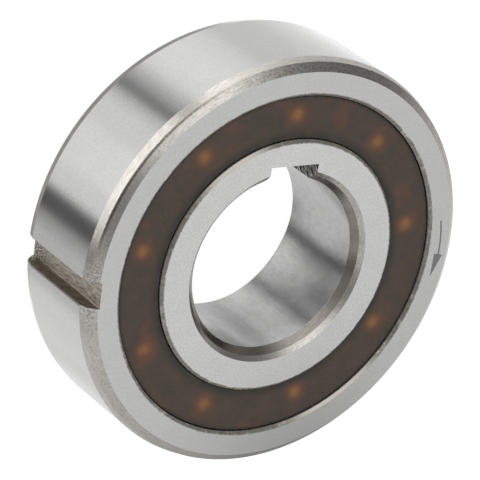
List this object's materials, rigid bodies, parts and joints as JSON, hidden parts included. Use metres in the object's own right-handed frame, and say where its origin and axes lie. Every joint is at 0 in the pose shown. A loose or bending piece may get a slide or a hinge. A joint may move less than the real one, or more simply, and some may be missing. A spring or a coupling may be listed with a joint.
{
  "type": "sprag clutch",
  "caption": "One-way sprag clutch built into a keyed ball bearing: it turns freely one way and locks the other.",
  "frame": {"origin": "centre of the back face, on the rotation axis", "axes": "+Z along the rotation axis, out of the front face with the arrow; -X through the middle of the outer ring's slot"},
  "size_m": [0.047, 0.047, 0.014],
  "materials": {
    "ring_steel": "ground",
    "cage_plastic": "moulded, slightly translucent brown",
    "ball_steel": "lapped",
    "sprag_steel": "hardened and tumbled",
    "spring_steel": "drawn wire"
  },
  "bodies": {
    "outer": {"outer_ring": "ring_steel"},
    "inner": {"inner_ring": "ring_steel"},
    "cage": {"ball_cage": "cage_plastic", "sprag_cage": "cage_plastic", "garter_spring": "spring_steel"},
    "ball_1": {"ball_1": "ball_steel"},
    "ball_2": {"ball_2": "ball_steel"},
    "ball_3": {"ball_3": "ball_steel"},
    "ball_4": {"ball_4": "ball_steel"},
    "ball_5": {"ball_5": "ball_steel"},
    "ball_6": {"ball_6": "ball_steel"},
    "ball_7": {"ball_7": "ball_steel"},
    "ball_8": {"ball_8": "ball_steel"},
    "ball_9": {"ball_9": "ball_steel"},
    "sprag_1": {"sprag_1": "sprag_steel"},
    "sprag_2": {"sprag_2": "sprag_steel"},
    "sprag_3": {"sprag_3": "sprag_steel"},
    "sprag_4": {"sprag_4": "sprag_steel"},
    "sprag_5": {"sprag_5": "sprag_steel"},
    "sprag_6": {"sprag_6": "sprag_steel"},
    "sprag_7": {"sprag_7": "sprag_steel"},
    "sprag_8": {"sprag_8": "sprag_steel"},
    "sprag_9": {"sprag_9": "sprag_steel"},
    "sprag_10": {"sprag_10": "sprag_steel"},
    "sprag_11": {"sprag_11": "sprag_steel"},
    "sprag_12": {"sprag_12": "sprag_steel"},
    "sprag_13": {"sprag_13": "sprag_steel"},
    "sprag_14": {"sprag_14": "sprag_steel"},
    "sprag_15": {"sprag_15": "sprag_steel"},
    "sprag_16": {"sprag_16": "sprag_steel"},
    "sprag_17": {"sprag_17": "sprag_steel"},
    "sprag_18": {"sprag_18": "sprag_steel"}
  },
  "joints": [
    {"name": "inner_spin", "type": "hinge", "parent": "outer", "child": "inner", "pos_m": [0, 0, 0.007], "axis": [0, 0, 1], "range_deg": [0, 3600]},
    {"name": "cage_orbit", "type": "hinge", "parent": "outer", "child": "cage", "pos_m": [0, 0, 0.007], "axis": [0, 0, 1], "range_deg": [0, 1467]},
    {"name": "ball_1_roll", "type": "hinge", "parent": "cage", "child": "ball_1", "pos_m": [0.00089, 0.01708, 0.00976], "axis": [0, 0, 1], "range_deg": [-9362, 0]},
    {"name": "ball_2_roll", "type": "hinge", "parent": "cage", "child": "ball_2", "pos_m": [-0.01029, 0.01366, 0.00976], "axis": [0, 0, 1], "range_deg": [-9362, 0]},
    {"name": "ball_3_roll", "type": "hinge", "parent": "cage", "child": "ball_3", "pos_m": [-0.01666, 0.00385, 0.00976], "axis": [0, 0, 1], "range_deg": [-9362, 0]},
    {"name": "ball_4_roll", "type": "hinge", "parent": "cage", "child": "ball_4", "pos_m": [-0.01524, -0.00776, 0.00976], "axis": [0, 0, 1], "range_deg": [-9362, 0]},
    {"name": "ball_5_roll", "type": "hinge", "parent": "cage", "child": "ball_5", "pos_m": [-0.00668, -0.01574, 0.00976], "axis": [0, 0, 1], "range_deg": [-9362, 0]},
    {"name": "ball_6_roll", "type": "hinge", "parent": "cage", "child": "ball_6", "pos_m": [0.005, -0.01635, 0.00976], "axis": [0, 0, 1], "range_deg": [-9362, 0]},
    {"name": "ball_7_roll", "type": "hinge", "parent": "cage", "child": "ball_7", "pos_m": [0.01434, -0.00931, 0.00976], "axis": [0, 0, 1], "range_deg": [-9362, 0]},
    {"name": "ball_8_roll", "type": "hinge", "parent": "cage", "child": "ball_8", "pos_m": [0.01697, 0.00208, 0.00976], "axis": [0, 0, 1], "range_deg": [-9362, 0]},
    {"name": "ball_9_roll", "type": "hinge", "parent": "cage", "child": "ball_9", "pos_m": [0.01166, 0.01251, 0.00976], "axis": [0, 0, 1], "range_deg": [-9362, 0]},
    {"name": "sprag_1_tilt", "type": "hinge", "parent": "cage", "child": "sprag_1", "pos_m": [-0.00208, 0.01697, 0.00354], "axis": [0, 0, -1], "range_deg": [0, 5], "stiffness_Nm_per_rad": 0.00005},
    {"name": "sprag_2_tilt", "type": "hinge", "parent": "cage", "child": "sprag_2", "pos_m": [-0.00776, 0.01524, 0.00354], "axis": [0, 0, -1], "range_deg": [0, 5]},
    {"name": "sprag_3_tilt", "type": "hinge", "parent": "cage", "child": "sprag_3", "pos_m": [-0.01251, 0.01166, 0.00354], "axis": [0, 0, -1], "range_deg": [0, 5]},
    {"name": "sprag_4_tilt", "type": "hinge", "parent": "cage", "child": "sprag_4", "pos_m": [-0.01574, 0.00668, 0.00354], "axis": [0, 0, -1], "range_deg": [0, 5]},
    {"name": "sprag_5_tilt", "type": "hinge", "parent": "cage", "child": "sprag_5", "pos_m": [-0.01708, 0.00089, 0.00354], "axis": [0, 0, -1], "range_deg": [0, 5]},
    {"name": "sprag_6_tilt", "type": "hinge", "parent": "cage", "child": "sprag_6", "pos_m": [-0.01635, -0.005, 0.00354], "axis": [0, 0, -1], "range_deg": [0, 5]},
    {"name": "sprag_7_tilt", "type": "hinge", "parent": "cage", "child": "sprag_7", "pos_m": [-0.01366, -0.01029, 0.00354], "axis": [0, 0, -1], "range_deg": [0, 5]},
    {"name": "sprag_8_tilt", "type": "hinge", "parent": "cage", "child": "sprag_8", "pos_m": [-0.00931, -0.01434, 0.00354], "axis": [0, 0, -1], "range_deg": [0, 5]},
    {"name": "sprag_9_tilt", "type": "hinge", "parent": "cage", "child": "sprag_9", "pos_m": [-0.00385, -0.01666, 0.00354], "axis": [0, 0, -1], "range_deg": [0, 5]},
    {"name": "sprag_10_tilt", "type": "hinge", "parent": "cage", "child": "sprag_10", "pos_m": [0.00208, -0.01697, 0.00354], "axis": [0, 0, -1], "range_deg": [0, 5]},
    {"name": "sprag_11_tilt", "type": "hinge", "parent": "cage", "child": "sprag_11", "pos_m": [0.00776, -0.01524, 0.00354], "axis": [0, 0, -1], "range_deg": [0, 5]},
    {"name": "sprag_12_tilt", "type": "hinge", "parent": "cage", "child": "sprag_12", "pos_m": [0.01251, -0.01166, 0.00354], "axis": [0, 0, -1], "range_deg": [0, 5]},
    {"name": "sprag_13_tilt", "type": "hinge", "parent": "cage", "child": "sprag_13", "pos_m": [0.01574, -0.00668, 0.00354], "axis": [0, 0, -1], "range_deg": [0, 5]},
    {"name": "sprag_14_tilt", "type": "hinge", "parent": "cage", "child": "sprag_14", "pos_m": [0.01708, -0.00089, 0.00354], "axis": [0, 0, -1], "range_deg": [0, 5]},
    {"name": "sprag_15_tilt", "type": "hinge", "parent": "cage", "child": "sprag_15", "pos_m": [0.01635, 0.005, 0.00354], "axis": [0, 0, -1], "range_deg": [0, 5]},
    {"name": "sprag_16_tilt", "type": "hinge", "parent": "cage", "child": "sprag_16", "pos_m": [0.01366, 0.01029, 0.00354], "axis": [0, 0, -1], "range_deg": [0, 5]},
    {"name": "sprag_17_tilt", "type": "hinge", "parent": "cage", "child": "sprag_17", "pos_m": [0.00931, 0.01434, 0.00354], "axis": [0, 0, -1], "range_deg": [0, 5]},
    {"name": "sprag_18_tilt", "type": "hinge", "parent": "cage", "child": "sprag_18", "pos_m": [0.00385, 0.01666, 0.00354], "axis": [0, 0, -1], "range_deg": [0, 5]}
  ],
  "couplings": [
    {"joint": "cage_orbit", "follows": "inner_spin", "ratio": 0.40716},
    {"joint": "ball_1_roll", "follows": "inner_spin", "ratio": -2.6001},
    {"joint": "ball_2_roll", "follows": "inner_spin", "ratio": -2.6001},
    {"joint": "ball_3_roll", "follows": "inner_spin", "ratio": -2.6001},
    {"joint": "ball_4_roll", "follows": "inner_spin", "ratio": -2.6001},
    {"joint": "ball_5_roll", "follows": "inner_spin", "ratio": -2.6001},
    {"joint": "ball_6_roll", "follows": "inner_spin", "ratio": -2.6001},
    {"joint": "ball_7_roll", "follows": "inner_spin", "ratio": -2.6001},
    {"joint": "ball_8_roll", "follows": "inner_spin", "ratio": -2.6001},
    {"joint": "ball_9_roll", "follows": "inner_spin", "ratio": -2.6001},
    {"joint": "sprag_2_tilt", "follows": "sprag_1_tilt", "ratio": 1},
    {"joint": "sprag_3_tilt", "follows": "sprag_1_tilt", "ratio": 1},
    {"joint": "sprag_4_tilt", "follows": "sprag_1_tilt", "ratio": 1},
    {"joint": "sprag_5_tilt", "follows": "sprag_1_tilt", "ratio": 1},
    {"joint": "sprag_6_tilt", "follows": "sprag_1_tilt", "ratio": 1},
    {"joint": "sprag_7_tilt", "follows": "sprag_1_tilt", "ratio": 1},
    {"joint": "sprag_8_tilt", "follows": "sprag_1_tilt", "ratio": 1},
    {"joint": "sprag_9_tilt", "follows": "sprag_1_tilt", "ratio": 1},
    {"joint": "sprag_10_tilt", "follows": "sprag_1_tilt", "ratio": 1},
    {"joint": "sprag_11_tilt", "follows": "sprag_1_tilt", "ratio": 1},
    {"joint": "sprag_12_tilt", "follows": "sprag_1_tilt", "ratio": 1},
    {"joint": "sprag_13_tilt", "follows": "sprag_1_tilt", "ratio": 1},
    {"joint": "sprag_14_tilt", "follows": "sprag_1_tilt", "ratio": 1},
    {"joint": "sprag_15_tilt", "follows": "sprag_1_tilt", "ratio": 1},
    {"joint": "sprag_16_tilt", "follows": "sprag_1_tilt", "ratio": 1},
    {"joint": "sprag_17_tilt", "follows": "sprag_1_tilt", "ratio": 1},
    {"joint": "sprag_18_tilt", "follows": "sprag_1_tilt", "ratio": 1}
  ]
}
